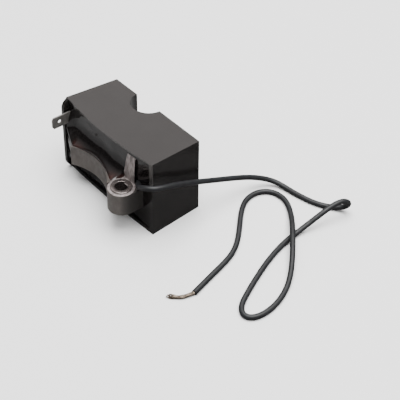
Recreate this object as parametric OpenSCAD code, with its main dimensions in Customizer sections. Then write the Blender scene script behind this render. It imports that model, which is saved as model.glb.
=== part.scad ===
// Potted ignition coil for a small engine, lying on the closed long side of its case.
// +X runs along the case, +Y from the open front to the back, +Z up from the rest face.
// Millimetres. The origin is under the middle of the coil, without its lead.

/* [Case] */
// Length of the case at its open front
body_w = 66.2; // [60:0.1:80]
// Depth of the case from the open front to the back
body_d = 29; // [27:0.1:35]
// Height of the case at its open front
body_h = 41.7; // [38:0.1:52]
// Thickness of the four side walls
wall = 1.9; // [1.2:0.1:2.4]
// Thickness of the back wall
back_wall = 2; // [1.2:0.1:2.6]
// Draft of each end wall over the depth
end_draft = 1.65; // [0.2:0.05:2]
// Draft of the top wall over the depth
top_draft = 1.55; // [0.2:0.05:2]
// How far the top wall's front edge bows out at its middle
top_bow = 2.2; // [0.4:0.1:3]
// How far the bottom wall's front edge bows out at its middle
base_bow = 0.9; // [0.2:0.1:2]
// How far the cheek of the left end wall stands out in front
cheek_out = 3; // [1:0.1:4]
// Corner radius of the cheek
cheek_r = 5.5; // [3:0.1:8]

// Corner radius of the case's open front, inside
inner_r = 3.4; // [1:0.1:5]

/* [Relief] */
// Radius of the half-round relief down the back
relief_r = 8.7; // [6:0.1:9]
// Distance of the relief's axis from the left end
relief_x = 26.5; // [24:0.1:28]

/* [Core] */
// Height of the underside of the plate stack
core_z = 12.5; // [11:0.1:16]
// Number of plates in the stack
plate_count = 16; // [10:1:18]
// Thickness of one plate
plate_t = 0.65; // [0.5:0.01:0.7]
// Gap between two plates
plate_gap = 0.04; // [0.02:0.01:0.1]
// Distance of the stack's left end from the left end of the case
core_x = 12.9; // [11:0.1:14]
// Radius of the concave face that clears the engine's hub
hub_r = 27.8; // [26:0.1:30]
// Distance of the hub's axis from the left end of the case
hub_x = 27.5; // [26:0.1:29]
// Depth of the yoke behind the case front
yoke_back = 5.5; // [5:0.1:6.5]
// Furthest point of the concave face from the case front
hub_gap = 3.7; // [2.5:0.1:5]
// Width of the leg inside the main coil
leg_w = 9; // [7:0.1:9.5]
// Length of the main leg behind the yoke
leg_len = 18.3; // [16:0.1:18.5]
// Distance of the main leg's middle from the left end
leg_x = 49.5; // [49:0.1:50]
// Width of the trigger leg
trigger_leg_w = 5; // [4:0.1:5.2]
// Length of the trigger leg behind the yoke
trigger_leg_len = 11; // [9:0.1:12]
// Distance of the trigger leg's middle from the left end
trigger_x = 18.6; // [18:0.1:19]

/* [Mounting ear] */
// Radius of the mounting ear
ear_r = 6.75; // [6.2:0.05:7.2]
// Distance of the screw hole from the left end
ear_x = 52.4; // [51.8:0.1:53]
// Distance of the screw hole in front of the case
ear_y = 7.1; // [6.5:0.1:8]
// Radius of the screw hole through the eyelet
screw_r = 3.1; // [2.6:0.05:3.3]
// Wall of the eyelet
eyelet_wall = 0.55; // [0.4:0.05:0.7]
// Radius of the eyelet's rolled flanges
flange_r = 5.2; // [4.6:0.1:5.6]
// Thickness of the eyelet's flanges
flange_t = 0.7; // [0.4:0.05:0.9]

/* [Ground strap] */
// Thickness of the strap
strap_t = 0.5; // [0.3:0.05:0.8]
// Width of the strap at the ear
strap_w = 7.8; // [6:0.1:8.4]
// Width of the strap under the top wall
strap_top_w = 5.8; // [4.5:0.1:6.4]
// Radius of the strap's ring lug
lug_r = 6.5; // [6:0.05:6.7]

/* [Kill tab] */
// Width of the blade, the standard quarter inch
tab_w = 6.35; // [4.75:0.05:6.35]
// Thickness of the blade
tab_t = 0.8; // [0.5:0.05:0.8]
// How far the blade stands out of the case front
tab_out = 10.7; // [8:0.1:12]
// Height of the blade's middle
tab_z = 32.2; // [31:0.1:33]
// Distance of the blade's middle from the left end
tab_x = 3; // [2.7:0.1:3.4]
// Diameter of the latch hole
tab_hole = 1.9; // [1.4:0.1:2.2]
// Distance of the latch hole from the tip
tab_hole_in = 4.1; // [3.4:0.1:4.6]

/* [Lead] */
// Outside diameter of the lead
lead_d = 2.6; // [2:0.1:3]
// Diameter of the bare twisted strands
strand_d = 1.4; // [0.8:0.1:1.6]

/* [Windings] */
// Wall of the bobbins
bobbin_t = 0.9; // [0.6:0.05:1]
// Thickness of the primary winding
primary_t = 2; // [1:0.1:2.2]
// Thickness of the secondary winding
secondary_t = 2.8; // [1.5:0.1:3]
// Thickness of the insulating sleeve between the windings
sleeve_t = 0.4; // [0.2:0.05:0.5]
// Length of the bobbins along the leg
bobbin_len = 17; // [14:0.1:17.2]
// Number of sections in the secondary winding
sections = 5; // [3:1:6]
// Thickness of the trigger winding
trigger_t = 1.6; // [0.8:0.1:1.8]

/* [Circuit] */
// Length of the circuit board
board_w = 28; // [24:0.1:29]
// Depth of the circuit board
board_d = 13.5; // [12:0.1:14]
// Thickness of the circuit board
board_t = 1.6; // [0.8:0.1:1.6]

/* [Hidden] */
$fn = 64;

// Clearance between pieces that seat in each other
fit = 0.03;
// Clearance of the resin round the lead
lead_fit = 0.05;
// Overshoot of a cutting shape past the face it cuts
cut = 1;

ear_reach = ear_y + ear_r;
front_y = (ear_reach - body_d) / 2;
stack_h = plate_count * (plate_t + plate_gap) - plate_gap;
stack_top = core_z + stack_h;
stack_mid = core_z + stack_h / 2;
hub_y = -hub_gap - hub_r;
eyelet_r = screw_r + eyelet_wall;
resin_y = 0.2;
fillet_r = 9.2;
fillet_end = ear_x - ear_r;
rivet_r = 1.2;
rivet_head_r = 2;
rivet_head_t = 0.7;
rivet_xs = [core_x + 3, (trigger_x + leg_x) / 2, leg_x - leg_w / 2 - 1.2];
rivet_y = yoke_back / 2 + 0.2;

// Ring sizes of the coil, as half width and half height round the leg
leg_half = [leg_w / 2, stack_h / 2];
primary_in = leg_half + [fit + bobbin_t, fit + bobbin_t];
primary_out = primary_in + [primary_t, primary_t];
sleeve_out = primary_out + [sleeve_t, sleeve_t];
secondary_in = sleeve_out + [bobbin_t, bobbin_t] + [fit, fit];
secondary_out = secondary_in + [secondary_t, secondary_t];
trigger_half = [trigger_leg_w / 2, stack_h / 2];
trigger_in = trigger_half + [fit + bobbin_t, fit + bobbin_t];
trigger_out = trigger_in + [trigger_t, trigger_t];
coil_y = yoke_back + 0.6;
trigger_len = trigger_leg_len - 1.5;
flange_over = 0.3;
pin_r = 0.4;
pin_len = 3;
pin_z = stack_mid + primary_in[1] + primary_t / 2;
pin_xs = [leg_x - 6.5, leg_x - 2.5];

board_x = 5;
board_y = 3;
board_z = max(stack_top, trigger_out[1] + stack_mid + bobbin_t) + 2.6;
board_top = board_z + board_t;

// The case corner that the lead's way is laid round, and how far this case's corner is from it
way_corner = [33.1, -7.575, 0];
lead_move = [body_w / 2, front_y, 0] - way_corner;

// Where the lead leaves the resin, and its way out
lead_start = [21.5, -5.9, 25];
lead_next = [23.6, -8, 25.1];
terminal_len = 4.5;
terminal_r = 1.25;

// The lead's way: out beside the ear, round the corner and down to the surface, one
// standing turn at the far end, back over its own line, and out to the bare strands.
lead_route = [
  lead_start, lead_next, [26.4, -10.4, 26.2], [29.2, -11.8, 28.6], [32.8, -12, 31],
  [36.6, -10.4, 31.8], [38.2, -6.2, 31.2], [37.8, 0.8, 29], [36.5, 12, 23.6], [36.5, 24, 18.4],
  [36.8, 37, 13], [37.4, 50, 7.6], [41.8, 61, 2.4], [51, 62.4, 1.35], [60, 63.8, 1.35],
  [68, 66, 1.35], [75, 71, 1.35], [78.2, 73.6, 2.8], [80.6, 73.6, 6.4], [80.8, 71, 9.8],
  [79, 66.6, 10.8], [77.2, 54.4, 5.8], [75.8, 45, 1.8], [76.4, 36, 1.35], [79.8, 24, 1.35],
  [84, 13.5, 1.35], [90.5, -0.4, 1.35], [94, -6.6, 1.35], [98.2, -9.7, 1.35],
  [102.2, -8.6, 1.35], [104.3, -3.2, 1.35], [103.4, 7, 1.35], [96.8, 21.6, 1.35],
  [77.6, 39.6, 7], [64, 51.8, 1.35], [53.5, 57.6, 1.35], [43, 54.2, 1.35], [41, 41, 1.35],
  [54.4, 27.6, 1.35], [67.2, 14.6, 1.35], [70.8, -1, 1.35], [75.2, -17.4, 1.35]
];
strand_route = [
  [75.2, -17.4, 1.35], [74.4, -20.5, 1.1], [73.4, -23.6, 0.9], [70.8, -25.6, 0.8],
  [68.4, -27.8, 0.8]
];

// ---- shared shapes ----

// Puts a shape drawn from the left end and the case front into the row frame
module in_case() translate([-body_w / 2, front_y, 0]) children();

// Extrudes an outline drawn in Y and Z along X
module along_x(x0, x1) translate([x0, 0, 0]) rotate([90, 0, 90]) linear_extrude(x1 - x0) children();

// Extrudes an outline drawn in X and Z along Y
module along_y(y0, y1) translate([0, y1, 0]) rotate([90, 0, 0]) linear_extrude(y1 - y0) children();

// A rectangle with round corners, from its half sizes
module round_box(half, r) {
  square([2 * (half[0] - r), 2 * half[1]], center = true);
  square([2 * half[0], 2 * (half[1] - r)], center = true);
  for (i = [-1, 1], j = [-1, 1]) translate([i * (half[0] - r), j * (half[1] - r)]) circle(r);
}

// A tube of rounded section round a leg at x, between y0 and y0 + len
module leg_tube(x, inner, outer, y0, len, r_out) {
  translate([x, 0, stack_mid]) along_y(y0, y0 + len) difference() {
    round_box(outer, r_out);
    square(2 * inner, center = true);
  }
}

// A tube of rounded section inside and out, as a winding has
module wound_tube(x, inner, outer, y0, len, r_in, r_out) {
  translate([x, 0, stack_mid]) along_y(y0, y0 + len) difference() {
    round_box(outer, r_out);
    round_box(inner, r_in);
  }
}

// Plan of the case up to a depth, with its end walls set in by a distance
module case_plan(in, back) {
  slope = end_draft / body_d;
  front = -cheek_out - cut;
  polygon([
    [in + slope * front, front], [body_w - in - slope * front, front],
    [body_w - in - slope * back, back], [in + slope * back, back]
  ]);
}

// A disc whose edge is the bowed front of a wall, between points set in from the ends
module bow_disc(bow, in) {
  half = body_w / 2 - in;
  r = (half * half + bow * bow) / (2 * bow);
  translate([body_w / 2, r - bow]) circle(r, $fn = 360);
}

// Side view of the case, with its walls set in by a distance
module case_side(in, back) {
  slope = top_draft / body_d;
  front = -cheek_out - cut;
  polygon([
    [front, in], [back, in], [back, body_h - in - slope * back],
    [front, body_h - in - slope * front]
  ]);
}

// The space inside the case, open at the front, beside the relief
module case_space() {
  intersection() {
    difference() {
      linear_extrude(body_h) case_plan(wall, body_d - back_wall);
      translate([relief_x, body_d, -cut]) cylinder(body_h + 2 * cut, relief_r + back_wall, relief_r + back_wall);
    }
    along_x(0, body_w) case_side(wall, body_d - back_wall);
    translate([body_w / 2, 0, body_h / 2]) along_y(-cheek_out - cut, body_d)
      round_box([body_w / 2 - wall + 0.25, body_h / 2 - wall + 0.25], inner_r);
  }
}

// Plan of one core plate without its holes
module plate_plan() {
  difference() {
    translate([core_x, -ear_reach]) square([ear_x - core_x, ear_reach + yoke_back]);
    translate([hub_x, hub_y]) circle(hub_r, $fn = 180);
    translate([ear_x, -ear_y - ear_reach]) square([2 * ear_r, 2 * ear_reach], center = true);
  }
  translate([ear_x, -ear_y]) square([ear_r, ear_y + yoke_back]);
  translate([ear_x, -ear_y]) circle(ear_r, $fn = 96);
  translate([leg_x - leg_w / 2, 0]) square([leg_w, yoke_back + leg_len]);
  translate([trigger_x - trigger_leg_w / 2, 0]) square([trigger_leg_w, yoke_back + trigger_leg_len]);
}

// The whole stack as one block, grown by the seating clearance in height
module stack_block() translate([0, 0, core_z]) linear_extrude(stack_h) plate_plan();

// Where the lead's straight start lies, as a rod of a given radius and length
module lead_rod(r, len, back = 0) {
  way = lead_next - lead_start;
  run = norm([way[0], way[1]]);
  translate(lead_start + lead_move) rotate([0, 90 - atan2(way[2], run), atan2(way[1], way[0])])
    translate([0, 0, -back]) cylinder(len, r, r, $fn = 32);
}

// A straight wire between two points
module wire(a, b, r) {
  way = b - a;
  run = norm([way[0], way[1]]);
  translate(a) rotate([0, 90 - atan2(way[2], run), atan2(way[1], way[0])]) cylinder(norm(way), r, r, $fn = 16);
}

// ---- swept tubes ----

// A point on the smooth curve that the route's points pull, between points i and i + 1
function curve_point(p, i, t) = (
  pow(1 - t, 3) * p[i] + (3 * t * t * t - 6 * t * t + 4) * p[i + 1]
  + (-3 * t * t * t + 3 * t * t + 3 * t + 1) * p[i + 2] + t * t * t * p[i + 3]
) / 6;

// The route with one more point before and after, so that the curve meets both ends
function with_ends(p) = let (n = len(p)) concat([2 * p[0] - p[1]], p, [2 * p[n - 1] - p[n - 2]]);

// Points along the curve, a number of them between each two of the route's points
function curve(p, steps) = let (q = with_ends(p), n = len(q) - 3) concat(
  [for (i = [0:n - 1], k = [0:steps - 1]) curve_point(q, i, k / steps)],
  [curve_point(q, n - 1, 1)]
);

function unit(v) = v / norm(v);
function heading(c, i) = unit(c[min(i + 1, len(c) - 1)] - c[max(i - 1, 0)]);
function ring(c, i, r, sides) = let (
  t = heading(c, i), a = unit(cross([0, 0, 1], t)), b = cross(t, a)
) [for (k = [0:sides - 1]) c[i] + r * (cos(360 * k / sides) * a + sin(360 * k / sides) * b)];

// A closed tube swept along a route
module swept_tube(route, r, steps, sides = 8) {
  c = curve(route, steps);
  n = len(c);
  skin = [
    for (i = [0:n - 2], k = [0:sides - 1]) let (m = (k + 1) % sides)
      [i * sides + k, i * sides + m, (i + 1) * sides + m, (i + 1) * sides + k]
  ];
  first = [for (k = [sides - 1:-1:0]) k];
  last = [for (k = [0:sides - 1]) (n - 1) * sides + k];
  polyhedron([for (i = [0:n - 1]) each ring(c, i, r, sides)], concat(skin, [first], [last]));
}

// ---- case and resin ----

// Side view of the cheek: the left wall's round-cornered front edge
module cheek_side() {
  low = [cheek_r - cheek_out, cheek_r];
  high = [cheek_r - cheek_out, body_h - cheek_r];
  translate(low) circle(cheek_r);
  translate(high) circle(cheek_r);
  translate([-cheek_out, low[1]]) square([cheek_out + cheek_r, high[1] - low[1]]);
}

// The case as a full block, with its bowed front edges and its cheek
module case_block() {
  lip_depth = 2 * wall;
  intersection() {
    along_x(-cut, body_w + cut) case_side(0, body_d);
    union() {
      linear_extrude(body_h + cut) intersection() {
        case_plan(0, body_d);
        bow_disc(base_bow, 0);
      }
      translate([0, 0, body_h - wall]) linear_extrude(wall + cut) intersection() {
        case_plan(0, lip_depth);
        bow_disc(top_bow, wall);
      }
      intersection() {
        linear_extrude(body_h) case_plan(0, lip_depth);
        along_x(-cut, wall) cheek_side();
      }
    }
  }
}

// Case: an open box, with a cheek on its left wall and a relief down its back
module housing() {
  color([0.24, 0.23, 0.22]) in_case() difference() {
    case_block();
    case_space();
    translate([relief_x, body_d, -cut]) cylinder(body_h + 2 * cut, relief_r, relief_r, $fn = 120);
  }
}

// The resin's face above the core, from the concave edge up to the top wall
module resin_slope() {
  intersection() {
    translate([0, 0, stack_top]) linear_extrude(fillet_r) intersection() {
      plate_plan();
      translate([0, -ear_reach]) square([fillet_end, ear_reach + resin_y]);
    }
    along_x(0, fillet_end) difference() {
      translate([resin_y - fillet_r, stack_top]) square([fillet_r, fillet_r]);
      translate([resin_y - fillet_r, stack_top + fillet_r]) circle(fillet_r, $fn = 120);
    }
  }
}

// The resin between the cheek and the left end of the core
module resin_shoulder() {
  horn_y = hub_y + sqrt(hub_r * hub_r - (hub_x - core_x) * (hub_x - core_x));
  translate([0, 0, core_z - 4]) linear_extrude(stack_h + 8) polygon([
    [wall, resin_y], [wall, -cheek_out + 0.5], [core_x, horn_y + 1.2], [core_x, resin_y]
  ]);
  translate([0, 0, core_z - 4]) linear_extrude(body_h - wall - cheek_r - core_z + 4) polygon([
    [wall, resin_y], [wall, -cheek_out + 0.5], [wall + 4, -cheek_out + 1.4], [wall + 9, resin_y]
  ]);
}

// Resin that fills the case round everything inside it
module potting() {
  color([0.07, 0.05, 0.05]) difference() {
    in_case() difference() {
      union() {
        intersection() {
          case_space();
          translate([0, resin_y, 0]) cube([body_w, body_d, body_h]);
        }
        resin_slope();
        resin_shoulder();
      }
      stack_block();
      coil_block();
      trigger_block();
      rivet_block();
      board_block();
      tab_plate();
      strap_bend();
    }
    lead_rod(lead_d / 2 + lead_fit, 6);
    lead_rod(terminal_r + fit, terminal_len + 0.4, terminal_len + 0.2);
    wires_block();
  }
}

// ---- core ----

// Core plates: a stack of pressed steel plates with a yoke, two legs and the ear
module core_plates() {
  color([0.46, 0.43, 0.41]) in_case() for (i = [0:plate_count - 1])
    translate([0, 0, core_z + i * (plate_t + plate_gap)]) linear_extrude(plate_t) difference() {
      plate_plan();
      translate([ear_x, -ear_y]) circle(eyelet_r + fit);
      for (x = rivet_xs) translate([x, rivet_y]) circle(rivet_r + fit, $fn = 32);
    }
}

// Core rivets: hold the plates together, with a head at each end
module core_rivets() {
  color([0.6, 0.58, 0.55]) in_case() for (x = rivet_xs) translate([x, rivet_y, 0]) {
    translate([0, 0, core_z]) cylinder(stack_h, rivet_r, rivet_r, $fn = 32);
    translate([0, 0, core_z - rivet_head_t]) cylinder(rivet_head_t, rivet_head_r, rivet_head_r, $fn = 32);
    translate([0, 0, stack_top]) cylinder(rivet_head_t, rivet_head_r, rivet_head_r, $fn = 32);
  }
}

// The room that the rivet heads take in the resin
module rivet_block() {
  for (x = rivet_xs) translate([x, rivet_y, core_z - rivet_head_t])
    cylinder(stack_h + 2 * rivet_head_t, rivet_head_r, rivet_head_r, $fn = 32);
}

// Mounting eyelet: lines the screw hole and clamps the strap's lug to the stack
module mounting_eyelet() {
  low = core_z - flange_t;
  high = stack_top + strap_t;
  color([0.66, 0.62, 0.6]) in_case() translate([ear_x, -ear_y, 0]) difference() {
    union() {
      translate([0, 0, low]) cylinder(high - low + flange_t, eyelet_r, eyelet_r);
      translate([0, 0, low]) cylinder(flange_t, flange_r, flange_r);
      translate([0, 0, high]) cylinder(flange_t * 0.5, flange_r, flange_r);
      translate([0, 0, high + flange_t * 0.5]) cylinder(flange_t * 0.5, flange_r, flange_r - flange_t * 0.6);
    }
    translate([0, 0, low - cut]) cylinder(high - low + flange_t + 2 * cut, screw_r, screw_r);
  }
}

// Side view of the strap's upright part, from the lug to its bend under the top wall
module strap_side() {
  foot_y = -1.3;
  head_y = -0.75;
  head_z = body_h - wall - 0.5;
  polygon([
    [foot_y - 0.9, stack_top], [foot_y - 0.9, stack_top + strap_t], [foot_y - 0.35, stack_top + strap_t + 0.15],
    [foot_y, stack_top + strap_t + 0.8], [head_y, head_z - 0.9], [head_y + 0.9, head_z],
    [4.5, head_z], [4.5, head_z - strap_t], [head_y + 1.1, head_z - strap_t],
    [head_y + strap_t, head_z - 1.1], [foot_y + strap_t, stack_top + strap_t + 0.5],
    [foot_y + strap_t - 0.1, stack_top]
  ]);
}

// The strap's upright part with its taper, as wide as the strap
module strap_upright() {
  foot = ear_x - 2.1;
  head = ear_x - 0.2;
  intersection() {
    along_x(ear_x - ear_r, ear_x + ear_r) strap_side();
    along_y(-ear_reach, 6) polygon([
      [foot - strap_w / 2, 0], [foot + strap_w / 2, 0], [foot + strap_w / 2, stack_top + 2],
      [head + strap_top_w / 2, body_h], [head - strap_top_w / 2, body_h],
      [foot - strap_w / 2, stack_top + 6]
    ]);
  }
}

// The stretch of the strap that is cast into the resin
module strap_bend() {
  intersection() {
    strap_upright();
    translate([0, resin_y - cut, 0]) cube([body_w, body_d, body_h]);
  }
}

// Ground strap: a ring lug under the eyelet, and a strip up the front of the resin
module ground_strap() {
  color([0.62, 0.58, 0.57]) in_case() difference() {
    union() {
      translate([ear_x, -ear_y, stack_top]) cylinder(strap_t, lug_r, lug_r);
      translate([ear_x - 5, -ear_y, stack_top]) cube([8.4, ear_y - 1.4, strap_t]);
      strap_upright();
    }
    translate([ear_x, -ear_y, stack_top - cut]) cylinder(strap_t + 2 * cut, eyelet_r + fit, eyelet_r + fit);
  }
}

// The kill tab's blade and root as one plate
module tab_plate() {
  chamfer = 1.1;
  root = 6;
  along_x(tab_x - tab_t / 2, tab_x + tab_t / 2) polygon([
    [-tab_out, tab_z - tab_w / 2 + chamfer], [-tab_out + chamfer * 0.7, tab_z - tab_w / 2],
    [0.6, tab_z - tab_w / 2], [0.6, tab_z - tab_w / 4], [root, tab_z - tab_w / 4],
    [root, tab_z + tab_w / 2], [-tab_out + chamfer * 0.7, tab_z + tab_w / 2],
    [-tab_out, tab_z + tab_w / 2 - chamfer]
  ]);
}

// Kill tab: the flat terminal that the stop switch's wire pushes onto
module kill_tab() {
  color([0.5, 0.48, 0.46]) in_case() difference() {
    tab_plate();
    translate([tab_x - cut, tab_hole_in - tab_out, tab_z]) rotate([0, 90, 0])
      cylinder(2 * cut, tab_hole / 2, tab_hole / 2, $fn = 48);
  }
}

// ---- windings ----

// A bobbin: a tube round a leg with a flange at each end, and more flanges between
module bobbin(x, inner, wound, y0, len, gaps) {
  tube = inner + [bobbin_t, bobbin_t];
  leg_tube(x, inner, tube, y0, len, 0.5);
  step = (len - bobbin_t) / gaps;
  for (i = [0:gaps]) leg_tube(x, inner, wound + [flange_over, flange_over], y0 + i * step, bobbin_t, 1.4);
}

// Primary bobbin: carries the low-tension winding on the main leg
module primary_bobbin() color([0.75, 0.72, 0.62]) in_case()
  bobbin(leg_x, leg_half + [fit, fit], primary_out - [flange_over, flange_over], coil_y, bobbin_len, 1);

// Primary winding: heavy enamelled wire
module primary_winding() color([0.55, 0.25, 0.12]) in_case()
  wound_tube(leg_x, primary_in, primary_out, coil_y + bobbin_t, bobbin_len - 2 * bobbin_t, 0.5, 1.4);

// Insulating sleeve: between the primary and the secondary bobbin
module insulating_sleeve() color([0.8, 0.7, 0.35]) in_case()
  wound_tube(leg_x, primary_out, sleeve_out, coil_y, bobbin_len, 1.4, 1.6);

// Secondary bobbin: its flanges part the high-tension winding into sections
module secondary_bobbin() color([0.82, 0.8, 0.72]) in_case() {
  tube = sleeve_out + [fit, fit];
  step = (bobbin_len - bobbin_t) / sections;
  wound_tube(leg_x, tube, secondary_in, coil_y, bobbin_len, 1.6, 2);
  for (i = [0:sections])
    wound_tube(leg_x, secondary_in, secondary_out + [flange_over, flange_over], coil_y + i * step, bobbin_t, 2, 2.4);
}

// Secondary winding: fine wire, one bundle in each section
module secondary_winding() color([0.62, 0.3, 0.15]) in_case() {
  step = (bobbin_len - bobbin_t) / sections;
  for (i = [0:sections - 1])
    wound_tube(leg_x, secondary_in, secondary_out, coil_y + i * step + bobbin_t, step - bobbin_t, 2, 2.4);
}

// The room that the whole coil takes in the resin
module coil_block() {
  over = secondary_out + [flange_over, flange_over];
  translate([leg_x, 0, stack_mid]) along_y(coil_y, coil_y + bobbin_len) round_box(over, 2.4);
}

// Bobbin pins: the ends of the windings are wound on these
module bobbin_pins() color([0.7, 0.68, 0.6]) in_case()
  for (x = pin_xs) wire([x, coil_y, pin_z], [x, coil_y - pin_len, pin_z], pin_r);

// Trigger bobbin: a small bobbin on the trigger leg
module trigger_bobbin() color([0.75, 0.72, 0.62]) in_case()
  bobbin(trigger_x, trigger_half + [fit, fit], trigger_out - [flange_over, flange_over], coil_y, trigger_len, 1);

// Trigger winding: times the spark
module trigger_winding() color([0.55, 0.25, 0.12]) in_case()
  wound_tube(trigger_x, trigger_in, trigger_out, coil_y + bobbin_t, trigger_len - 2 * bobbin_t, 0.5, 1);

// The room that the trigger coil takes in the resin
module trigger_block() {
  translate([trigger_x, 0, stack_mid]) along_y(coil_y, coil_y + trigger_len) round_box(trigger_out, 1);
}

// ---- circuit ----

// Circuit board: carries the switching parts above the trigger coil
module circuit_board() color([0.2, 0.32, 0.2]) in_case()
  translate([board_x, board_y, board_z]) cube([board_w, board_d, board_t]);

// Power transistor: opens and closes the primary circuit
module power_transistor() color([0.12, 0.12, 0.12]) in_case() translate([board_x + 1.5, board_y + 2.6, board_top]) {
  difference() {
    cube([7.6, 8.4, 2.7]);
    translate([3.8, 6.2, -cut]) cylinder(2.7 + 2 * cut, 1.5, 1.5, $fn = 32);
  }
}

// Thyristor: fires the circuit when the trigger coil's pulse comes
module thyristor() color([0.1, 0.1, 0.1]) in_case() translate([board_x + 13, board_y + 3.6, board_top]) {
  difference() {
    cylinder(4.6, 2.3, 2.3, $fn = 40);
    translate([-3, 1.3, -cut]) cube([6, 3, 4.6 + 2 * cut]);
  }
}

// Film capacitor: keeps the primary voltage in bounds
module film_capacitor() color([0.65, 0.2, 0.12]) in_case()
  translate([board_x + 17.2, board_y + 1.2, board_top]) cube([7.2, 3.6, 6]);

// Resistors: two axial resistors in a row
module resistors() color([0.75, 0.65, 0.5]) in_case()
  for (i = [0, 1]) translate([board_x + 17.6, board_y + 7 + 3.2 * i, board_top + 1.1]) rotate([0, 90, 0]) {
    cylinder(6, 1.1, 1.1, $fn = 32);
    translate([0, 0, -1]) cylinder(8, 0.3, 0.3, $fn = 16);
  }

// Diode: keeps the pulse to one direction
module diode() color([0.15, 0.15, 0.16]) in_case()
  translate([board_x + 10.8, board_y + 9.4, board_top + 1.3]) rotate([0, 90, 0]) {
    cylinder(4.6, 1.3, 1.3, $fn = 32);
    translate([0, 0, -0.8]) cylinder(6.2, 0.35, 0.35, $fn = 16);
  }

// Places of the wires' ends on the underside of the board
function pad(i) = [board_x + board_w - 2.4 - 3 * i, board_y + 1 + 1.6 * i, board_z];
tab_pad = [tab_x + 4.6, board_y + 2, board_z];

// Solder joints: under the board, where the wires come in
module solder_joints() color([0.72, 0.72, 0.7]) in_case() {
  for (i = [0:2]) translate(pad(i) - [0, 0, 0.5]) cylinder(0.5, 0.5, 1, $fn = 32);
  translate(tab_pad - [0, 0, 0.5]) cylinder(0.5, 0.5, 1, $fn = 32);
}

// The room that the board and what is on it take in the resin
module board_block() {
  translate([board_x, board_y, board_z]) cube([board_w, board_d, board_t]);
  translate([board_x + 1.5, board_y + 2, board_top]) cube([7.6, 9, 2.7]);
  translate([board_x + 13, board_y + 3.6, board_top]) cylinder(4.6, 2.3, 2.3, $fn = 40);
  translate([board_x + 17.2, board_y + 1.2, board_top]) cube([7.2, 3.6, 6]);
  translate([board_x + 16.6, board_y + 5.9, board_top]) cube([8, 5.4, 2.2]);
  translate([board_x + 10, board_y + 8.1, board_top]) cube([6.2, 2.6, 2.6]);
  for (i = [0:2]) translate(pad(i) - [0, 0, 0.5]) cylinder(0.5, 1, 1, $fn = 32);
  translate(tab_pad - [0, 0, 0.5]) cylinder(0.5, 1, 1, $fn = 32);
}

// ---- inner wires, drawn in the row frame ----

wire_r = 0.45;
function case_point(p) = p + [-body_w / 2, front_y, 0];

// Primary wires: from the board's pads to the bobbin pins
module primary_wires() color([0.6, 0.3, 0.15]) for (i = [0, 1])
  wire(
    case_point(pad(i)) - [0, 0, 0.5 + wire_r],
    case_point([pin_xs[i], coil_y - pin_len + 0.6 + 1.4 * i, pin_z + pin_r + wire_r]), wire_r
  );

// Tab wire: from the kill tab's root down to the board
module tab_wire() color([0.6, 0.3, 0.15]) wire(
  case_point([tab_x + tab_t / 2, 2.6, tab_z + 0.4]), case_point(tab_pad) + [0, 0, board_t + wire_r], wire_r
);

// Ground wire: from the board to the strap's cast end
module ground_wire() color([0.5, 0.5, 0.5]) wire(
  case_point([ear_x - 3.2, 3.6, body_h - wall - 1.5]),
  case_point([board_x + board_w - 1, board_y + 0.8, board_top + wire_r]), wire_r
);

// Output wire: from the secondary winding to the lead's terminal
module output_wire() color([0.6, 0.3, 0.15]) {
  way = unit(lead_next - lead_start);
  wire(
    lead_start + lead_move - (terminal_len - 1) * way + [0, 0, terminal_r + fit],
    case_point([leg_x + 3, coil_y - wire_r - fit, stack_mid + secondary_in[1] + 1]), wire_r
  );
}

// The room that the inner wires take in the resin
module wires_block() {
  primary_wires();
  tab_wire();
  ground_wire();
  output_wire();
  bobbin_pins();
}

// ---- lead ----

// Lead terminal: crimped on the lead's inner end and cast in
module lead_terminal() color([0.72, 0.6, 0.35]) lead_rod(terminal_r, terminal_len, terminal_len);

// Lead: one insulated wire, out of the resin beside the ear
module lead() color([0.12, 0.12, 0.13]) translate(lead_move) swept_tube(lead_route, lead_d / 2, 2);

// Lead strands: the bare twisted end
module lead_strands() color([0.6, 0.45, 0.3]) translate(lead_move) swept_tube(strand_route, strand_d / 2, 3);

housing();
potting();
core_plates();
core_rivets();
mounting_eyelet();
ground_strap();
kill_tab();
primary_bobbin();
primary_winding();
insulating_sleeve();
secondary_bobbin();
secondary_winding();
bobbin_pins();
trigger_bobbin();
trigger_winding();
circuit_board();
power_transistor();
thyristor();
film_capacitor();
resistors();
diode();
solder_joints();
primary_wires();
tab_wire();
ground_wire();
output_wire();
lead_terminal();
lead();
lead_strands();
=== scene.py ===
import math

import bmesh
import bpy
from mathutils import Matrix, Vector, noise


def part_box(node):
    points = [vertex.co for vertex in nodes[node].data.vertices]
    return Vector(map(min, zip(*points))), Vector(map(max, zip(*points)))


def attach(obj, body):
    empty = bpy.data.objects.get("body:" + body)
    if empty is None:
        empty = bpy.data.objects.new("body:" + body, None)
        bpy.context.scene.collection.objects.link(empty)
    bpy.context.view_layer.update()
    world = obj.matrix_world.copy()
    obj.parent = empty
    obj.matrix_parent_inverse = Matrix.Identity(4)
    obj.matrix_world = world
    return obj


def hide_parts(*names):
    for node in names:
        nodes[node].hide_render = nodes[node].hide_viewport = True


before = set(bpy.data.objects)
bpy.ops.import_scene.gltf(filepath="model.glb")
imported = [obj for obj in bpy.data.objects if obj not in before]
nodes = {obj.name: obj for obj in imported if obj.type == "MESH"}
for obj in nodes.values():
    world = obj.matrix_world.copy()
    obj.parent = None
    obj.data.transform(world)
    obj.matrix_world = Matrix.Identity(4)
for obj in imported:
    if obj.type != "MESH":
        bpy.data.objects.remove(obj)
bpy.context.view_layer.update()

mm = 0.001
print("ignition coil: frame loaded,", len(nodes), "parts")

view = {
    "target": (18.4, 33.0, 20.85),  # mm, what the lens axis points at
    "distance": 575.3,
    "azimuth": 49.69,  # degrees round from the open front towards the ear's end
    "elevation": 38.96,
    "roll": 0.76,
    "lens": 108.0,
    "sensor": 36.0,
    "shiftUp": -0.125,
    "clip": (0.01, 20),  # metres
}


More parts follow.
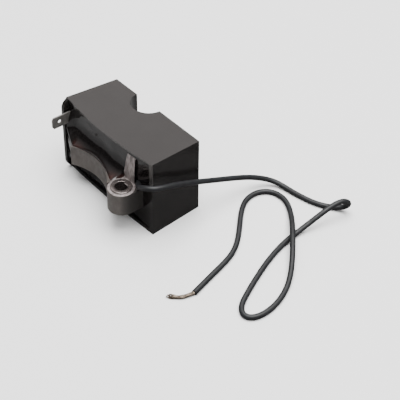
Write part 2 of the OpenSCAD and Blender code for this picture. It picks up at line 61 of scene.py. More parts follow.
def addCamera(spec):
    turn, lift, roll = (math.radians(spec[k]) for k in ("azimuth", "elevation", "roll"))
    back = Vector((math.sin(turn) * math.cos(lift), -math.cos(turn) * math.cos(lift), math.sin(lift)))
    right = Vector((math.cos(turn), math.sin(turn), 0))
    up = back.cross(right)
    side = right * math.cos(roll) + up * math.sin(roll)
    top = up * math.cos(roll) - right * math.sin(roll)
    place = Vector(spec["target"]) * mm + back * spec["distance"] * mm
    camera = bpy.data.objects.new("camera", bpy.data.cameras.new("camera"))
    camera.matrix_world = Matrix.Translation(place) @ Matrix((side, top, back)).transposed().to_4x4()
    camera.data.lens = spec["lens"]
    camera.data.sensor_width = spec["sensor"]
    camera.data.shift_y = spec["shiftUp"]
    camera.data.clip_start, camera.data.clip_end = spec["clip"]
    bpy.context.scene.collection.objects.link(camera)
    bpy.context.scene.camera = camera


addCamera(view)


def newMaterial(name, color, roughness, metallic=0.0, level=0.5, coat=0.0, coatRoughness=0.05):
    # level is the specular level, 0.5 for common plastics
    material = bpy.data.materials.new(name)
    material.use_nodes = True
    shader = material.node_tree.nodes["Principled BSDF"]
    shader.inputs["Base Color"].default_value = (*color, 1)
    shader.inputs["Roughness"].default_value = roughness
    shader.inputs["Metallic"].default_value = metallic
    shader.inputs["Specular IOR Level"].default_value = level
    shader.inputs["Coat Weight"].default_value = coat
    shader.inputs["Coat Roughness"].default_value = coatRoughness
    return material


def addNode(owner, kind, **values):
    # owner is a material or the world; each value is one of the node's settings or sockets
    node = owner.node_tree.nodes.new(kind)
    for key, value in values.items():
        if hasattr(node, key):
            setattr(node, key, value)
        else:
            node.inputs[key].default_value = value
    return node


def placeAxes(owner, coordinates="Object"):
    place = addNode(owner, "ShaderNodeTexCoord")
    parts = addNode(owner, "ShaderNodeSeparateXYZ")
    owner.node_tree.links.new(place.outputs[coordinates], parts.inputs["Vector"])
    return parts.outputs


def addRamp(owner, socket, low, high, unit=mm, out=(0, 1)):
    # goes from the first output to the second between low and high, which are in mm as a rule
    ramp = addNode(owner, "ShaderNodeMapRange")
    ramp.inputs["From Min"].default_value, ramp.inputs["From Max"].default_value = low * unit, high * unit
    ramp.inputs["To Min"].default_value, ramp.inputs["To Max"].default_value = out
    owner.node_tree.links.new(socket, ramp.inputs["Value"])
    return ramp.outputs["Result"]


def combine(material, operation, first, second):
    both = addNode(material, "ShaderNodeMath", operation=operation)
    material.node_tree.links.new(first, both.inputs[0])
    material.node_tree.links.new(second, both.inputs[1])
    return both.outputs["Value"]


def blendTone(material, share, tone):
    # mixes another tone into the base colour by that share
    tree = material.node_tree
    base = tree.nodes["Principled BSDF"].inputs["Base Color"]
    blend = addNode(material, "ShaderNodeMix", data_type="RGBA")
    tones = [socket for socket in blend.inputs if socket.type == "RGBA"]
    if base.is_linked:
        tree.links.new(base.links[0].from_socket, tones[0])
    else:
        tones[0].default_value = base.default_value
    tones[1].default_value = (*tone, 1)
    tree.links.new(share, blend.inputs[0])
    tree.links.new([socket for socket in blend.outputs if socket.type == "RGBA"][0], base)


def addGrain(material, size, stretch, detail):
    # noise in patches of about that size in mm, stretched so that a grain can run one way
    place = addNode(material, "ShaderNodeTexCoord")
    mapping = addNode(material, "ShaderNodeMapping", Scale=stretch)
    grain = addNode(material, "ShaderNodeTexNoise", Scale=1 / (size * mm), Detail=detail, Roughness=0.6)
    material.node_tree.links.new(place.outputs["Object"], mapping.inputs["Vector"])
    material.node_tree.links.new(mapping.outputs["Vector"], grain.inputs["Vector"])
    return grain.outputs["Fac"]


def mottle(material, size, dark, light, contrast=(0.35, 0.65), stretch=(1, 1, 1), detail=4.0):
    # the base colour wanders between two tones
    links = material.node_tree.links
    ramp = addNode(material, "ShaderNodeValToRGB")
    for stop, position, tone in zip(ramp.color_ramp.elements, contrast, (dark, light)):
        stop.position, stop.color = position, (*tone, 1)
    links.new(addGrain(material, size, stretch, detail), ramp.inputs["Fac"])
    links.new(ramp.outputs["Color"], material.node_tree.nodes["Principled BSDF"].inputs["Base Color"])


def varyGloss(material, size, low, high, contrast=(0.3, 0.7), stretch=(1, 1, 1), detail=3.0):
    # the roughness wanders between low and high
    gloss = addRamp(material, addGrain(material, size, stretch, detail), *contrast, unit=1, out=(low, high))
    material.node_tree.links.new(gloss, material.node_tree.nodes["Principled BSDF"].inputs["Roughness"])


def roughen(material, size, height, stretch=(1, 1, 1), detail=4.0):
    # fine relief of that height in mm; a second call adds to the first
    links = material.node_tree.links
    normal = material.node_tree.nodes["Principled BSDF"].inputs["Normal"]
    bump = addNode(material, "ShaderNodeBump", Strength=1.0, Distance=height * mm)
    links.new(addGrain(material, size, stretch, detail), bump.inputs["Height"])
    if normal.is_linked:
        links.new(normal.links[0].from_socket, bump.inputs["Normal"])
    links.new(bump.outputs["Normal"], normal)


casePlastic = newMaterial("casePlastic", (0.009, 0.0078, 0.0074), roughness=0.2)
mottle(casePlastic, size=12, dark=(0.0078, 0.0067, 0.0063), light=(0.0102, 0.0089, 0.0085))
varyGloss(casePlastic, size=8, low=0.17, high=0.23)
roughen(casePlastic, size=18, height=0.1, detail=0.0)

blackResin = newMaterial("blackResin", (0.006, 0.005, 0.005), roughness=0.08)
roughen(blackResin, size=7, height=0.12, detail=1.5)
roughen(blackResin, size=0.8, height=0.004)

coreSteel = newMaterial("coreSteel", (0.082, 0.075, 0.07), roughness=0.42, metallic=0.35)
mottle(coreSteel, size=2.2, dark=(0.077, 0.067, 0.061), light=(0.106, 0.094, 0.087), stretch=(1, 1, 0.6))
varyGloss(coreSteel, size=1.1, low=0.34, high=0.52, stretch=(1, 1, 6))
roughen(coreSteel, size=0.5, height=0.02, stretch=(1, 1, 5))

platedSteel = newMaterial("platedSteel", (0.17, 0.145, 0.14), roughness=0.3, metallic=0.85)
mottle(platedSteel, size=3, dark=(0.13, 0.108, 0.104), light=(0.21, 0.185, 0.178))
varyGloss(platedSteel, size=1.6, low=0.22, high=0.3)
roughen(platedSteel, size=1.2, height=0.006)

strapMetal = newMaterial("strapMetal", (0.4, 0.35, 0.34), roughness=0.5, metallic=0.5)
mottle(strapMetal, size=1.5, dark=(0.15, 0.128, 0.125), light=(0.34, 0.3, 0.293),
       contrast=(0.36, 0.62), stretch=(1.3, 1, 0.4))
varyGloss(strapMetal, size=0.7, low=0.34, high=0.6)
roughen(strapMetal, size=1.2, height=0.1, stretch=(1.3, 1, 0.45))

tabMetal = newMaterial("tabMetal", (0.13, 0.124, 0.118), roughness=0.45, metallic=0.4)
mottle(tabMetal, size=3, dark=(0.11, 0.104, 0.098), light=(0.155, 0.147, 0.14))
varyGloss(tabMetal, size=1.2, low=0.3, high=0.45, stretch=(1, 0.3, 1))
roughen(tabMetal, size=0.6, height=0.015, stretch=(1, 0.2, 1))

leadRubber = newMaterial("leadRubber", (0.011, 0.0115, 0.0125), roughness=0.5, level=0.4)
mottle(leadRubber, size=4, dark=(0.0085, 0.009, 0.01), light=(0.0145, 0.015, 0.0165))
varyGloss(leadRubber, size=1.5, low=0.42, high=0.56)
roughen(leadRubber, size=0.4, height=0.012)

bareCopper = newMaterial("bareCopper", (0.16, 0.125, 0.095), roughness=0.35, metallic=0.8)
mottle(bareCopper, size=1.6, dark=(0.06, 0.045, 0.032), light=(0.27, 0.22, 0.175), contrast=(0.4, 0.6))
roughen(bareCopper, size=0.15, height=0.01)

enamelledCopper = newMaterial("enamelledCopper", (0.35, 0.11, 0.05), roughness=0.25, metallic=0.6, coat=0.5)
mottle(enamelledCopper, size=1, dark=(0.25, 0.07, 0.03), light=(0.42, 0.15, 0.07))
bobbinPlastic = newMaterial("bobbinPlastic", (0.5, 0.46, 0.36), roughness=0.45)
mottle(bobbinPlastic, size=4, dark=(0.45, 0.41, 0.32), light=(0.55, 0.51, 0.41))
sleevePaper = newMaterial("sleevePaper", (0.5, 0.38, 0.12), roughness=0.7)
mottle(sleevePaper, size=2, dark=(0.44, 0.33, 0.1), light=(0.55, 0.43, 0.16))
boardLaminate = newMaterial("boardLaminate", (0.02, 0.07, 0.025), roughness=0.4)
mottle(boardLaminate, size=3, dark=(0.016, 0.06, 0.02), light=(0.028, 0.085, 0.03))
blackEpoxy = newMaterial("blackEpoxy", (0.01, 0.01, 0.011), roughness=0.5)
roughen(blackEpoxy, size=0.3, height=0.01)
capacitorFilm = newMaterial("capacitorFilm", (0.25, 0.03, 0.015), roughness=0.2, coat=0.4)
mottle(capacitorFilm, size=3, dark=(0.2, 0.022, 0.01), light=(0.29, 0.04, 0.02))
resistorBody = newMaterial("resistorBody", (0.5, 0.38, 0.2), roughness=0.35)
mottle(resistorBody, size=2, dark=(0.44, 0.33, 0.17), light=(0.55, 0.42, 0.24))
solder = newMaterial("solder", (0.6, 0.6, 0.58), roughness=0.28, metallic=1.0)
roughen(solder, size=0.5, height=0.02)
terminalBrass = newMaterial("terminalBrass", (0.6, 0.42, 0.16), roughness=0.3, metallic=1.0)
roughen(terminalBrass, size=0.4, height=0.01)
print("materials made")


def dress(piece, material, smooth=True):
    piece.data.materials.clear()
    piece.data.materials.append(material)
    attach(piece, "root")
    if smooth and piece.type == "MESH":
        piece.data.shade_smooth()


def meshPiece(name, build):
    # build is a bmesh in millimetres
    bmesh.ops.recalc_face_normals(build, faces=build.faces)
    bmesh.ops.scale(build, vec=(mm, mm, mm), verts=build.verts)
    mesh = bpy.data.meshes.new(name)
    build.to_mesh(mesh)
    build.free()
    piece = bpy.data.objects.new(name, mesh)
    bpy.context.scene.collection.objects.link(piece)
    return piece


def softEdges(piece, radius, segments, angle=32, weldWithin=0.004):
    # rounds the edges sharper than that angle
    weld = piece.modifiers.new("joinSeams", "WELD")
    weld.merge_threshold = weldWithin * mm
    bevel = piece.modifiers.new("softEdges", "BEVEL")
    bevel.width = radius * mm
    bevel.segments = segments
    bevel.limit_method = "ANGLE"
    bevel.angle_limit = math.radians(angle)
    bevel.miter_outer = "MITER_ARC"
    bevel.harden_normals = False
    normals = piece.modifiers.new("evenNormals", "WEIGHTED_NORMAL")
    normals.keep_sharp = True
    normals.weight = 80


def ringLoft(build, rings):
    # joins closed rings of points, each as long as the last, into one capped skin
    made = [[build.verts.new(point) for point in ring] for ring in rings]
    count = len(made[0])
    for low, high in zip(made, made[1:]):
        for i in range(count):
            j = (i + 1) % count
            build.faces.new((low[i], low[j], high[j], high[i]))
    build.faces.new(made[0])
    build.faces.new(list(reversed(made[-1])))


def lathe(build, profile, centre, steps=96):
    # turns a closed profile of (radius, height) about the upright axis through centre
    rings = []
    for i in range(steps):
        turn = 2 * math.pi * i / steps
        rings.append([build.verts.new((
            centre[0] + r * math.cos(turn), centre[1] + r * math.sin(turn), z)) for r, z in profile])
    for i in range(steps):
        one, two = rings[i], rings[(i + 1) % steps]
        for k in range(len(profile)):
            n = (k + 1) % len(profile)
            build.faces.new((one[k], two[k], two[n], one[n]))


def arc(centre, radius, start, stop, steps=6):
    # points of a profile round centre, from one angle in degrees to another
    turns = [math.radians(start + (stop - start) * i / steps) for i in range(steps + 1)]
    return [(centre[0] + radius * math.cos(turn), centre[1] + radius * math.sin(turn)) for turn in turns]


def smoothStep(low, high, value):
    t = min(max((value - low) / (high - low), 0), 1)
    return t * t * (3 - 2 * t)


def wander(x, y, layer):
    # a smooth value between -1 and 1, the same on every run
    return noise.noise(Vector((x, y, layer)))


lead = {
    "diameter": 2.6,
    "length": 0.412,  # metres, from the resin to where the insulation ends
    "route": [  # mm, the points that pull its line
        (21.5, -5.9, 25), (23.6, -8, 25.1), (26.4, -10.4, 26.2), (29.2, -11.8, 28.6), (32.8, -12, 31),
        (36.6, -10.4, 31.8), (38.2, -6.2, 31.2), (37.8, 0.8, 29), (36.5, 12, 23.6), (36.5, 24, 18.4),
        (36.8, 37, 13), (37.4, 50, 7.6), (41.8, 61, 2.4), (51, 62.4, 1.35), (60, 63.8, 1.35),
        (68, 66, 1.35), (75, 71, 1.35), (78.2, 73.6, 2.8), (80.6, 73.6, 6.4), (80.8, 71, 9.8),
        (79, 66.6, 10.8), (77.2, 54.4, 5.8), (75.8, 45, 1.8), (76.4, 36, 1.35), (79.8, 24, 1.35),
        (84, 13.5, 1.35), (90.5, -0.4, 1.35), (94, -6.6, 1.35), (98.2, -9.7, 1.35),
        (102.2, -8.6, 1.35), (104.3, -3.2, 1.35), (103.4, 7, 1.35), (96.8, 21.6, 1.35),
        (77.6, 39.6, 7), (64, 51.8, 1.35), (53.5, 57.6, 1.35), (43, 54.2, 1.35), (41, 41, 1.35),
        (54.4, 27.6, 1.35), (67.2, 14.6, 1.35), (70.8, -1, 1.35), (75.2, -17.4, 1.35),
    ],
}


def withEnds(route):
    # one more point before and after, so that the pulled line meets both ends
    route = [Vector(p) for p in route]
    return [2 * route[0] - route[1]] + route + [2 * route[-1] - route[-2]]


def pulledLine(route, steps=8):
    # a smooth line with that many points from pull to pull
    pulls, line = withEnds(route), []
    for i in range(len(pulls) - 3):
        for k in range(steps):
            t = k / steps
            line.append((
                (1 - t) ** 3 * pulls[i] + (3 * t ** 3 - 6 * t * t + 4) * pulls[i + 1]
                + (3 * t + 3 * t * t - 3 * t ** 3 + 1) * pulls[i + 2] + t ** 3 * pulls[i + 3]) / 6)
    line.append((pulls[-3] + 4 * pulls[-2] + pulls[-1]) / 6)
    return line


def addLead(spec):
    curve = bpy.data.curves.new("lead", "CURVE")
    curve.dimensions = "3D"
    curve.bevel_depth = spec["diameter"] / 2 * mm
    curve.bevel_resolution = 6
    curve.use_fill_caps = True
    line = pulledLine(spec["route"])
    spline = curve.splines.new("POLY")
    spline.points.add(len(line) - 1)
    for point, place in zip(spline.points, line):
        point.co = (*(place * mm), 1)
    spline.use_smooth = True
    piece = bpy.data.objects.new("insulatedLead", curve)
    bpy.context.scene.collection.objects.link(piece)
    dress(piece, leadRubber)
    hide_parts("lead")
    return piece


strands = {
    "count": 13,
    "wire": 0.23,  # mm, radius of one strand
    "clearance": 0.03,  # mm, between a strand and the floor
    "twist": 420,  # degrees over the bare length
    "spread": 0.624,  # mm, from the bundle's middle to its outer strands
    "uneven": 0.195,  # mm, how much that differs from strand to strand
    "squash": 0.9,  # height of the bundle as a share of its width
    "fray": 0.6,  # how far the ends part
    "frayFrom": 0.5,  # share of the bare length where they begin to
    "shorter": 7,  # the strands end in that many different places
    "route": [(75.2, -17.4, 1.35), (74.4, -20.5, 1.1), (73.4, -23.6, 0.9), (70.8, -25.6, 0.8), (68.4, -27.8, 0.8)],
}


def addStrands(spec):
    line = pulledLine(spec["route"])
    last = len(line) - 1
    curve = bpy.data.curves.new("strands", "CURVE")
    curve.dimensions = "3D"
    curve.bevel_depth = spec["wire"] * mm
    curve.bevel_resolution = 2
    curve.use_fill_caps = True
    for s in range(spec["count"]):
        # the first strand runs up the middle; 3.1 and 1.7 only keep the others from moving alike
        offset = 0 if s == 0 else spec["spread"] + spec["uneven"] * wander(s * 3.1, 0, layer=0)
        endAt = last - (s * 5) % spec["shorter"]  # in an uneven order
        spline = curve.splines.new("POLY")
        spline.points.add(endAt)
        for i in range(endAt + 1):
            along = i / last
            ahead = (line[min(i + 1, last)] - line[max(i - 1, 0)]).normalized()
            side = ahead.cross(Vector((0, 0, 1))).normalized()
            over = side.cross(ahead) * spec["squash"]
            turn = math.radians(spec["twist"] * along) + 2 * math.pi * s / (spec["count"] - 1)
            apart = smoothStep(spec["frayFrom"], 1, along) * (1 + wander(s * 1.7, along * 2, layer=4))
            fray = 1 + spec["fray"] * apart
            place = line[i] + offset * fray * (side * math.cos(turn) + over * math.sin(turn))
            place.z = max(place.z, spec["wire"] + spec["clearance"])
            spline.points[i].co = (*(place * mm), 1)
    piece = bpy.data.objects.new("bareStrands", curve)
    bpy.context.scene.collection.objects.link(piece)
    dress(piece, bareCopper)
    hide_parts("lead_strands")
    return piece


leadPiece = addLead(lead)
strandPiece = addStrands(strands)
print("lead laid out")

caseLow, caseHigh = (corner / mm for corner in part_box("housing"))
coreLow, coreHigh = (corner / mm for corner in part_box("core_plates"))
eyeletLow, eyeletHigh = (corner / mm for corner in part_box("mounting_eyelet"))
earCentre = (eyeletLow + eyeletHigh) / 2

caseEdges = {
    "radius": 0.65,  # mm
    "segments": 4,
}
lip = {  # a painted highlight along the front edge; each pair is where it begins to show and where it is full, in mm
    "tone": (0.04, 0.0375, 0.036),
    "depth": (3.8, 3.6),  # behind the foremost point of the case
    "line": (0.95, 0.7),  # below the top of the upper wall
    "side": (2.0, 1.6),  # in from the ear's end
    "above": (27, 31),  # heights, up the ear's end
    "along": (-29, -25),  # x, by the tab's end
    "slope": (0.97, 0.9),  # upward part of the surface's direction, so that the painted highlight stays off the flat top
}


def paintLipHighlight(material, spec):
    # a painted highlight: a light line along the upper wall's front edge, wider down the ear's end
    axes = placeAxes(material)
    facing = addNode(material, "ShaderNodeNewGeometry")
    tilt = addNode(material, "ShaderNodeSeparateXYZ")
    material.node_tree.links.new(facing.outputs["True Normal"], tilt.inputs["Vector"])
    depth = addRamp(material, axes["Y"], *(caseLow.y + v for v in spec["depth"]))
    line = addRamp(material, axes["Z"], *(caseHigh.z - v for v in spec["line"]))
    side = addRamp(material, axes["X"], *(caseHigh.x - v for v in spec["side"]))
    above = addRamp(material, axes["Z"], *spec["above"])
    along = addRamp(material, axes["X"], *spec["along"])
    slope = addRamp(material, tilt.outputs["Z"], *spec["slope"], unit=1)
    share = combine(material, "MAXIMUM", line, combine(material, "MULTIPLY", side, above))
    for limit in (depth, slope, along):
        share = combine(material, "MULTIPLY", share, limit)
    blendTone(material, share, spec["tone"])


# paints a highlight along the case's front edge into the case's colour
paintLipHighlight(casePlastic, lip)
dress(nodes["housing"], casePlastic)
softEdges(nodes["housing"], caseEdges["radius"], caseEdges["segments"])
print("case finished")

resin = {  # mm
    "step": 0.4,  # between the surface's points
    "passes": 3,  # times the creases where two runs meet are evened out
    "wall": 1.9,  # of the case
    "cheekOut": 3.0,  # how far the left wall stands out in front of the rest
    "face": 0.2,  # how far the flat face lies behind the case front
    "fillet": 9.2,  # radius of the run from the core up to the flat face
    "below": 4.0,  # height of the run from the horn down to the flat face
    "hub": (-5.6, -39.075, 27.8),  # the concave core face: axis x, axis y, radius
    "hubEnd": 6.0,  # from the ear's middle to where that face ends
    "tuck": 1.2,  # how far the hidden part lies inside the plates
    "tuckFrom": 0.2,  # how far in from the plates' upper and lower faces it begins
    "tuckEnd": 5.5,  # from the ear's middle to where it ends
    "leftRun": (2.4, 1.0),  # left of the core: how far it stands out at the wall, and ends short of the core's face
    "earRun": (6.5, 4.2),  # from the ear's middle, where the run begins to sink and where it is level
    "earRing": 6.6,  # radius of the ring round the eyelet where it stops
    "cheekRun": 2.3,  # how far it comes up the left wall
    "cheekWidth": 8,  # how far that reaches along
    "cheekFoot": (2, 8),  # heights where that begins and is full
    "cheekHead": (30, 37),  # heights where it begins to fade and ends
    "creep": 0.12,  # how far it climbs along the walls
    "creepWidth": 0.6,  # how soon that dies away from the wall
    "cornerSize": 3.6,  # round the case's inner corners
    "cornerFade": (2.4, 3.4),  # from the corner's middle, where the creep begins to fade and ends
    "wave": 0.16,  # height of its slow dents
    "waveAlong": (0.13, 0.06),  # how fast they change along x and z, per mm, one way
    "waveUp": (-0.05, 0.2),  # and the other way
    "depth": 16.0,  # how far back the visible body goes
}
caseFront = caseLow.y + resin["cheekOut"]


def coreReach(x):
    # how far the core's concave face stands in front of the case at x
    hubX, hubY, hubR = resin["hub"]
    across = min(max(x, coreLow.x), earCentre.x - resin["hubEnd"]) - hubX
    return caseFront - (hubY + math.sqrt(hubR ** 2 - across ** 2))


def filletReach(rise, radius):
    # how far a hollow quarter round stands out at that height above its foot
    if rise >= radius:
        return 0
    rise = max(rise, 0)
    return radius - math.sqrt(radius ** 2 - (radius - rise) ** 2)


def resinReach(x, z):
    # how far the surface stands in front of its flat face
    left = caseLow.x + resin["wall"]
    rise, drop = z - coreHigh.z, coreLow.z - z
    slope = min(filletReach(rise, resin["fillet"]), coreReach(x) + resin["face"])
    if drop > 0:
        slope *= 1 - smoothStep(0, resin["below"], drop)
    if max(rise, drop) < -resin["tuckFrom"] and coreLow.x < x < earCentre.x - resin["tuckEnd"]:
        return coreReach(x) - resin["tuck"]
    if x < coreLow.x:
        start, short = resin["leftRun"]
        share = (x - left) / (coreLow.x - left)
        slope = min(slope, start + share * (coreReach(x) - start - short))
    else:
        runFrom, runTo = (earCentre.x - v for v in resin["earRun"])
        slope *= 1 - smoothStep(runFrom, runTo, x)
        if abs(x - earCentre.x) < resin["earRing"]:
            ring = math.sqrt(resin["earRing"] ** 2 - (x - earCentre.x) ** 2)
            slope = min(slope, caseFront - earCentre.y - ring)
        if drop > 0:
            slope = 0
    cheek = resin["cheekRun"] * (1 - smoothStep(0, resin["cheekWidth"], x - left))
    cheek *= smoothStep(*resin["cheekFoot"], z) * (1 - smoothStep(*resin["cheekHead"], z))
    return max(slope, cheek)


thinEdge = {  # where the resin lies thin over the core's upper edge, and turns reddish brown
    "tone": (0.036, 0.012, 0.0095),
    "above": 0.3,  # mm from the edge to its middle
    "width": 1.25,  # mm, how soon it dies away up and down
    "left": (-3, 1),  # mm from the core's left end, where it begins to show and is full
    "ear": (-4, 0),  # mm from the ear's middle, where it begins to fade and ends
    "middle": 0.25,  # its share between the two ends
    "leftEnd": (2, 9),  # mm from the core's left end, where it sinks to that share
    "earEnd": (-14, -8),  # mm from the ear's middle, where it rises again
    "patches": (0.7, 0.5),  # mean share and how much it wanders
    "patchPace": 0.4,  # how fast, per mm
}


def thinness(x, z, spec):
    fromLeft, fromEar = x - coreLow.x, x - earCentre.x
    near = math.exp(-((z - coreHigh.z - spec["above"]) / spec["width"]) ** 2)
    near *= smoothStep(*spec["left"], fromLeft) * (1 - smoothStep(*spec["ear"], fromEar))
    ends = max(1 - smoothStep(*spec["leftEnd"], fromLeft), smoothStep(*spec["earEnd"], fromEar))
    mean, change = spec["patches"]
    patch = mean + change * wander(x * spec["patchPace"], z * spec["patchPace"], layer=7)
    return max(0, near * (spec["middle"] + (1 - spec["middle"]) * ends) * patch)


def addResin(spec, edge):
    left, right = caseLow.x + spec["wall"], caseHigh.x - spec["wall"]
    low, high = spec["wall"], caseHigh.z - spec["wall"]
    columns, rows = int((right - left) / spec["step"]), int((high - low) / spec["step"])
    xs = [left + (right - left) * i / columns for i in range(columns + 1)]
    zs = [low + (high - low) * k / rows for k in range(rows + 1)]
    reach = [[resinReach(x, z) for x in xs] for z in zs]
    for turn in range(spec["passes"]):
        reach = [[(
            reach[max(k - 1, 0)][i] + reach[min(k + 1, rows)][i] + reach[k][max(i - 1, 0)]
            + reach[k][min(i + 1, columns)] + 2 * reach[k][i]) / 6
            for i in range(columns + 1)] for k in range(rows + 1)]
    (alongX, alongZ), (upX, upZ) = spec["waveAlong"], spec["waveUp"]
    size = spec["cornerSize"]
    build = bmesh.new()
    face = []
    for k, z in enumerate(zs):
        row = []
        for i, x in enumerate(xs):
            wall = min(x - left, right - x, z - low, high - z)
            corner = math.hypot(max(0, x - right + size), max(0, abs(z - (low + high) / 2) - (high - low) / 2 + size))
            creep = spec["creep"] * (1 - smoothStep(*spec["cornerFade"], corner))
            forward = reach[k][i] + creep * math.exp(-wall / spec["creepWidth"])
            forward += spec["wave"] * wander(x * alongX + z * alongZ, z * upZ + x * upX, layer=2)
            row.append(build.verts.new((x, caseFront + spec["face"] - forward, z)))
        face.append(row)
    for k in range(rows):
        for i in range(columns):
            build.faces.new((face[k][i], face[k][i + 1], face[k + 1][i + 1], face[k + 1][i]))
    rim = (face[0][:-1] + [row[-1] for row in face[:-1]] + list(reversed(face[-1][1:]))
           + [row[0] for row in reversed(face[1:])])
    behind = [build.verts.new((v.co.x, caseFront + spec["depth"], v.co.z)) for v in rim]
    for a, b in zip(range(len(rim)), list(range(1, len(rim))) + [0]):
        build.faces.new((rim[a], rim[b], behind[b], behind[a]))
    build.faces.new(behind)
    thin = build.verts.layers.float_color.new("thinness")
    for vert in build.verts:
        vert[thin] = (*([thinness(vert.co.x, vert.co.z, edge)] * 3), 1)
    piece = meshPiece("resinFill", build)
    dress(piece, blackResin)
    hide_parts("potting")


def tintThinResin(material, edge):
    thin = addNode(material, "ShaderNodeVertexColor", layer_name="thinness")
    blendTone(material, thin.outputs["Color"], edge["tone"])


tintThinResin(blackResin, thinEdge)
addResin(resin, thinEdge)
print("resin poured")

earShade = {  # painted shade: the ear's outer side is darker
    "from": 4.8,  # mm from the ear's middle, where that begins
    "to": 6.8,
    "tone": (0.034, 0.031, 0.029),
}


def paintEarShade(material, spec):
    outer = addRamp(material, placeAxes(material)["X"], earCentre.x + spec["from"], earCentre.x + spec["to"])
    blendTone(material, outer, spec["tone"])


# paints shade on the ear's outer side into the core's colour
paintEarShade(coreSteel, earShade)
dress(nodes["core_plates"], coreSteel)

eyelet = {  # mm, radii but for the last four
    "hole": 3.1,
    "tube": 3.65,
    "flange": 5.2,
    "flangeThick": 0.7,
    "roll": 0.3,  # round of its lips
    "sink": 0.08,  # from the upper lip down to the flange's rim
    "draw": 0.06,  # how much narrower the upper flange is underneath
}


def addEyelet(spec):
    low, high = eyeletLow.z, eyeletHigh.z
    hole, tube, flange, roll = spec["hole"], spec["tube"], spec["flange"], spec["roll"]
    profile = [(hole, low + roll)]
    profile += arc((hole + roll, high - roll), roll, 180, 90)
    profile += arc((flange - roll, high - roll - spec["sink"]), roll, 90, 0)
    profile.append((flange - spec["draw"], high - spec["flangeThick"]))
    profile += [(tube, high - spec["flangeThick"]), (tube, low + spec["flangeThick"])]
    profile += arc((flange - roll, low + roll), roll, 0, -90)
    profile += arc((hole + roll, low + roll), roll, -90, -165, steps=5)
    build = bmesh.new()
    lathe(build, profile, earCentre)
    piece = meshPiece("rolledEyelet", build)
    dress(piece, platedSteel)
    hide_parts("mounting_eyelet")


addEyelet(eyelet)

strap = {  # mm
    "thick": 0.5,
    "lug": 6.5,  # radius of the ring under the eyelet
    "lugRound": (0.1, 0.12),  # its edges, across and up
    "hole": 3.68,  # radius
    "steps": 10,  # points across the strap
    "flatRings": 3,  # the first of the path, which lie on the core
    "dent": 0.05,  # height of its slow dents
    "dentPace": (0.7, 0.5),  # how fast they change across and up, per mm
    "edges": 0.12,  # their radius
    "segments": 2,
    "edgeAngle": 50,  # in degrees; only sharper edges are rounded
    "path": [  # height, distance in front of the case, left edge, right edge
        (23.75, 4.4, -4.6, 4.0), (23.75, 3.2, -5.1, 3.0), (23.76, 2.2, -5.7, 2.1), (23.85, 1.75, -5.95, 1.9),
        (24.2, 1.35, -6.0, 1.85), (24.8, 1.1, -6.0, 1.85), (26.5, 1.0, -5.7, 1.8), (29, 0.92, -5.2, 1.85),
        (31.5, 0.82, -4.75, 1.95), (34, 0.72, -4.2, 2.1), (36.5, 0.62, -3.6, 2.3), (38.1, 0.5, -3.2, 2.45),
        (38.75, 0.2, -3.1, 2.5), (39.0, -0.4, -3.05, 2.5), (39.05, -1.4, -3.05, 2.5), (39.05, -3, -3.05, 2.5),
    ],
}


def addStrap(spec):
    build = bmesh.new()
    half, steps = spec["thick"] / 2, spec["steps"]
    low, high = coreHigh.z, coreHigh.z + spec["thick"]
    hole, lug, (across, up) = spec["hole"], spec["lug"], spec["lugRound"]
    lathe(build, [(hole, low), (lug - across, low), (lug, low + up), (lug, high - up), (lug - across, high),
                  (hole, high)], earCentre)
    path = [Vector((0, caseFront - out, z)) for z, out, leftEdge, rightEdge in spec["path"]]
    paceX, paceZ = spec["dentPace"]
    rings = []
    for i, (z, out, leftEdge, rightEdge) in enumerate(spec["path"]):
        ahead = (path[min(i + 1, len(path) - 1)] - path[max(i - 1, 0)]).normalized()
        away = ahead.cross(Vector((1, 0, 0)))
        if away.y > 0 and abs(away.y) > abs(away.z):
            away = -away
        if i < spec["flatRings"]:
            away = Vector((0, 0, 1))
        front, back = [], []
        for k in range(steps + 1):
            x = earCentre.x + leftEdge + (rightEdge - leftEdge) * k / steps
            middle = Vector((x, path[i].y, path[i].z))
            front.append(middle + away * (half + spec["dent"] * wander(x * paceX, z * paceZ, layer=1)))
            back.append(middle - away * half)
        rings.append(front + back[::-1])
    ringLoft(build, rings)
    piece = meshPiece("groundStrap", build)
    softEdges(piece, spec["edges"], spec["segments"], spec["edgeAngle"])
    dress(piece, strapMetal)
    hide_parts("ground_strap")


addStrap(strap)

tab = {
    "edges": 0.14,  # mm, their radius
    "segments": 3,
    "edgeAngle": 28,
}
dress(nodes["kill_tab"], tabMetal)
softEdges(nodes["kill_tab"], tab["edges"], tab["segments"], tab["edgeAngle"])
print("core, eyelet, strap and tab finished")

inside = {
    "core_rivets": (platedSteel, "plated_steel"),
    "primary_bobbin": (bobbinPlastic, "bobbin_plastic"),
    "primary_winding": (enamelledCopper, "copper_wire"),
    "insulating_sleeve": (sleevePaper, "paper"),
    "secondary_bobbin": (bobbinPlastic, "bobbin_plastic"),
    "secondary_winding": (enamelledCopper, "copper_wire"),
    "bobbin_pins": (solder, "solder"),
    "trigger_bobbin": (bobbinPlastic, "bobbin_plastic"),
    "trigger_winding": (enamelledCopper, "copper_wire"),
    "circuit_board": (boardLaminate, "board"),
    "power_transistor": (blackEpoxy, "black_epoxy"),
    "thyristor": (blackEpoxy, "black_epoxy"),
    "film_capacitor": (capacitorFilm, "capacitor_film"),
    "resistors": (resistorBody, "resistor_body"),
    "diode": (blackEpoxy, "black_epoxy"),
    "solder_joints": (solder, "solder"),
    "primary_wires": (enamelledCopper, "copper_wire"),
    "tab_wire": (enamelledCopper, "copper_wire"),
    "ground_wire": (solder, "solder"),
    "output_wire": (enamelledCopper, "copper_wire"),
    "lead_terminal": (terminalBrass, "terminal_brass"),
}
for name, (material, slot) in inside.items():
    dress(nodes[name], material, smooth=False)
print("inner parts dressed")

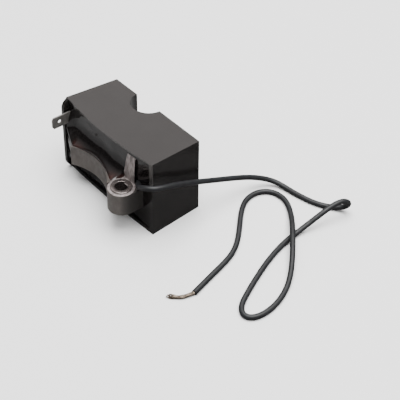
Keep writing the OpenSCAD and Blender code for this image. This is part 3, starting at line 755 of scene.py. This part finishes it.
studio = {
    "floor": 3.0,  # metres across
    "floorTone": (0.94, 0.94, 0.94),
    "floorRoughness": 0.8,
    "floorLevel": 0.1,  # of its shine
    "mirroredShade": (0.2, 0.085),  # painted shade in reflections: how light the floor looks in glossy parts, on the tab's side and the ear's side
    "mirrorTurn": (5, 45),  # mm, where it goes from one to the other
    "skyTone": (1.0, 1.0, 1.0),
    "sky": (0.05, 1.1),  # brightness low down and overhead
    "skyRise": (0.35, 0.95),  # heights where it goes from one to the other
    "aim": (0.02, 0.02, 0.02),  # metres, what the softboxes point at
    "softboxes": [  # name, place, size in metres, brightness, tone
        ("overhead", (0.15, 0.1, 1.3), (1.2, 1.2), 10.0, (1.0, 1.0, 1.0)),
        ("behind", (-0.55, 0.48, 0.6), (0.9, 0.6), 1.22, (1.0, 0.935, 0.915)),
    ],
}


def addFloor(spec):
    build = bmesh.new()
    bmesh.ops.create_grid(build, x_segments=12, y_segments=12, size=spec["floor"] / 2 / mm)
    floor = meshPiece("floor", build)
    material = newMaterial("paleFloor", spec["floorTone"], spec["floorRoughness"], level=spec["floorLevel"])
    shader = material.node_tree.nodes["Principled BSDF"]
    links = material.node_tree.links
    # glossy parts see a dimmer floor, darker on the ear's side: painted shade in reflections
    dim = addNode(material, "ShaderNodeBsdfDiffuse")
    shade = addRamp(material, placeAxes(material)["X"], *spec["mirrorTurn"], out=spec["mirroredShade"])
    links.new(shade, dim.inputs["Color"])
    rays = addNode(material, "ShaderNodeLightPath")
    blend = addNode(material, "ShaderNodeMixShader")
    links.new(rays.outputs["Is Glossy Ray"], blend.inputs[0])
    links.new(shader.outputs["BSDF"], blend.inputs[1])
    links.new(dim.outputs["BSDF"], blend.inputs[2])
    links.new(blend.outputs["Shader"], material.node_tree.nodes["Material Output"].inputs["Surface"])
    floor.data.materials.append(material)


def addSky(spec):
    world = bpy.data.worlds.new("studio")
    bpy.context.scene.world = world
    world.use_nodes = True
    background = world.node_tree.nodes["Background"]
    background.inputs["Color"].default_value = (*spec["skyTone"], 1)
    rise = addRamp(world, placeAxes(world, "Generated")["Z"], *spec["skyRise"], unit=1, out=spec["sky"])
    world.node_tree.links.new(rise, background.inputs["Strength"])


def addSoftbox(name, place, size, brightness, tone):
    lamp = bpy.data.lights.new(name, "AREA")
    lamp.shape = "RECTANGLE"
    lamp.size, lamp.size_y = size
    lamp.energy = brightness * math.pi * size[0] * size[1]
    lamp.color = tone
    light = bpy.data.objects.new(name, lamp)
    light.location = place
    light.rotation_euler = (Vector(studio["aim"]) - Vector(place)).to_track_quat("-Z", "Y").to_euler()
    bpy.context.scene.collection.objects.link(light)


addFloor(studio)
addSky(studio)
for softbox in studio["softboxes"]:
    addSoftbox(*softbox)
print("studio set up")
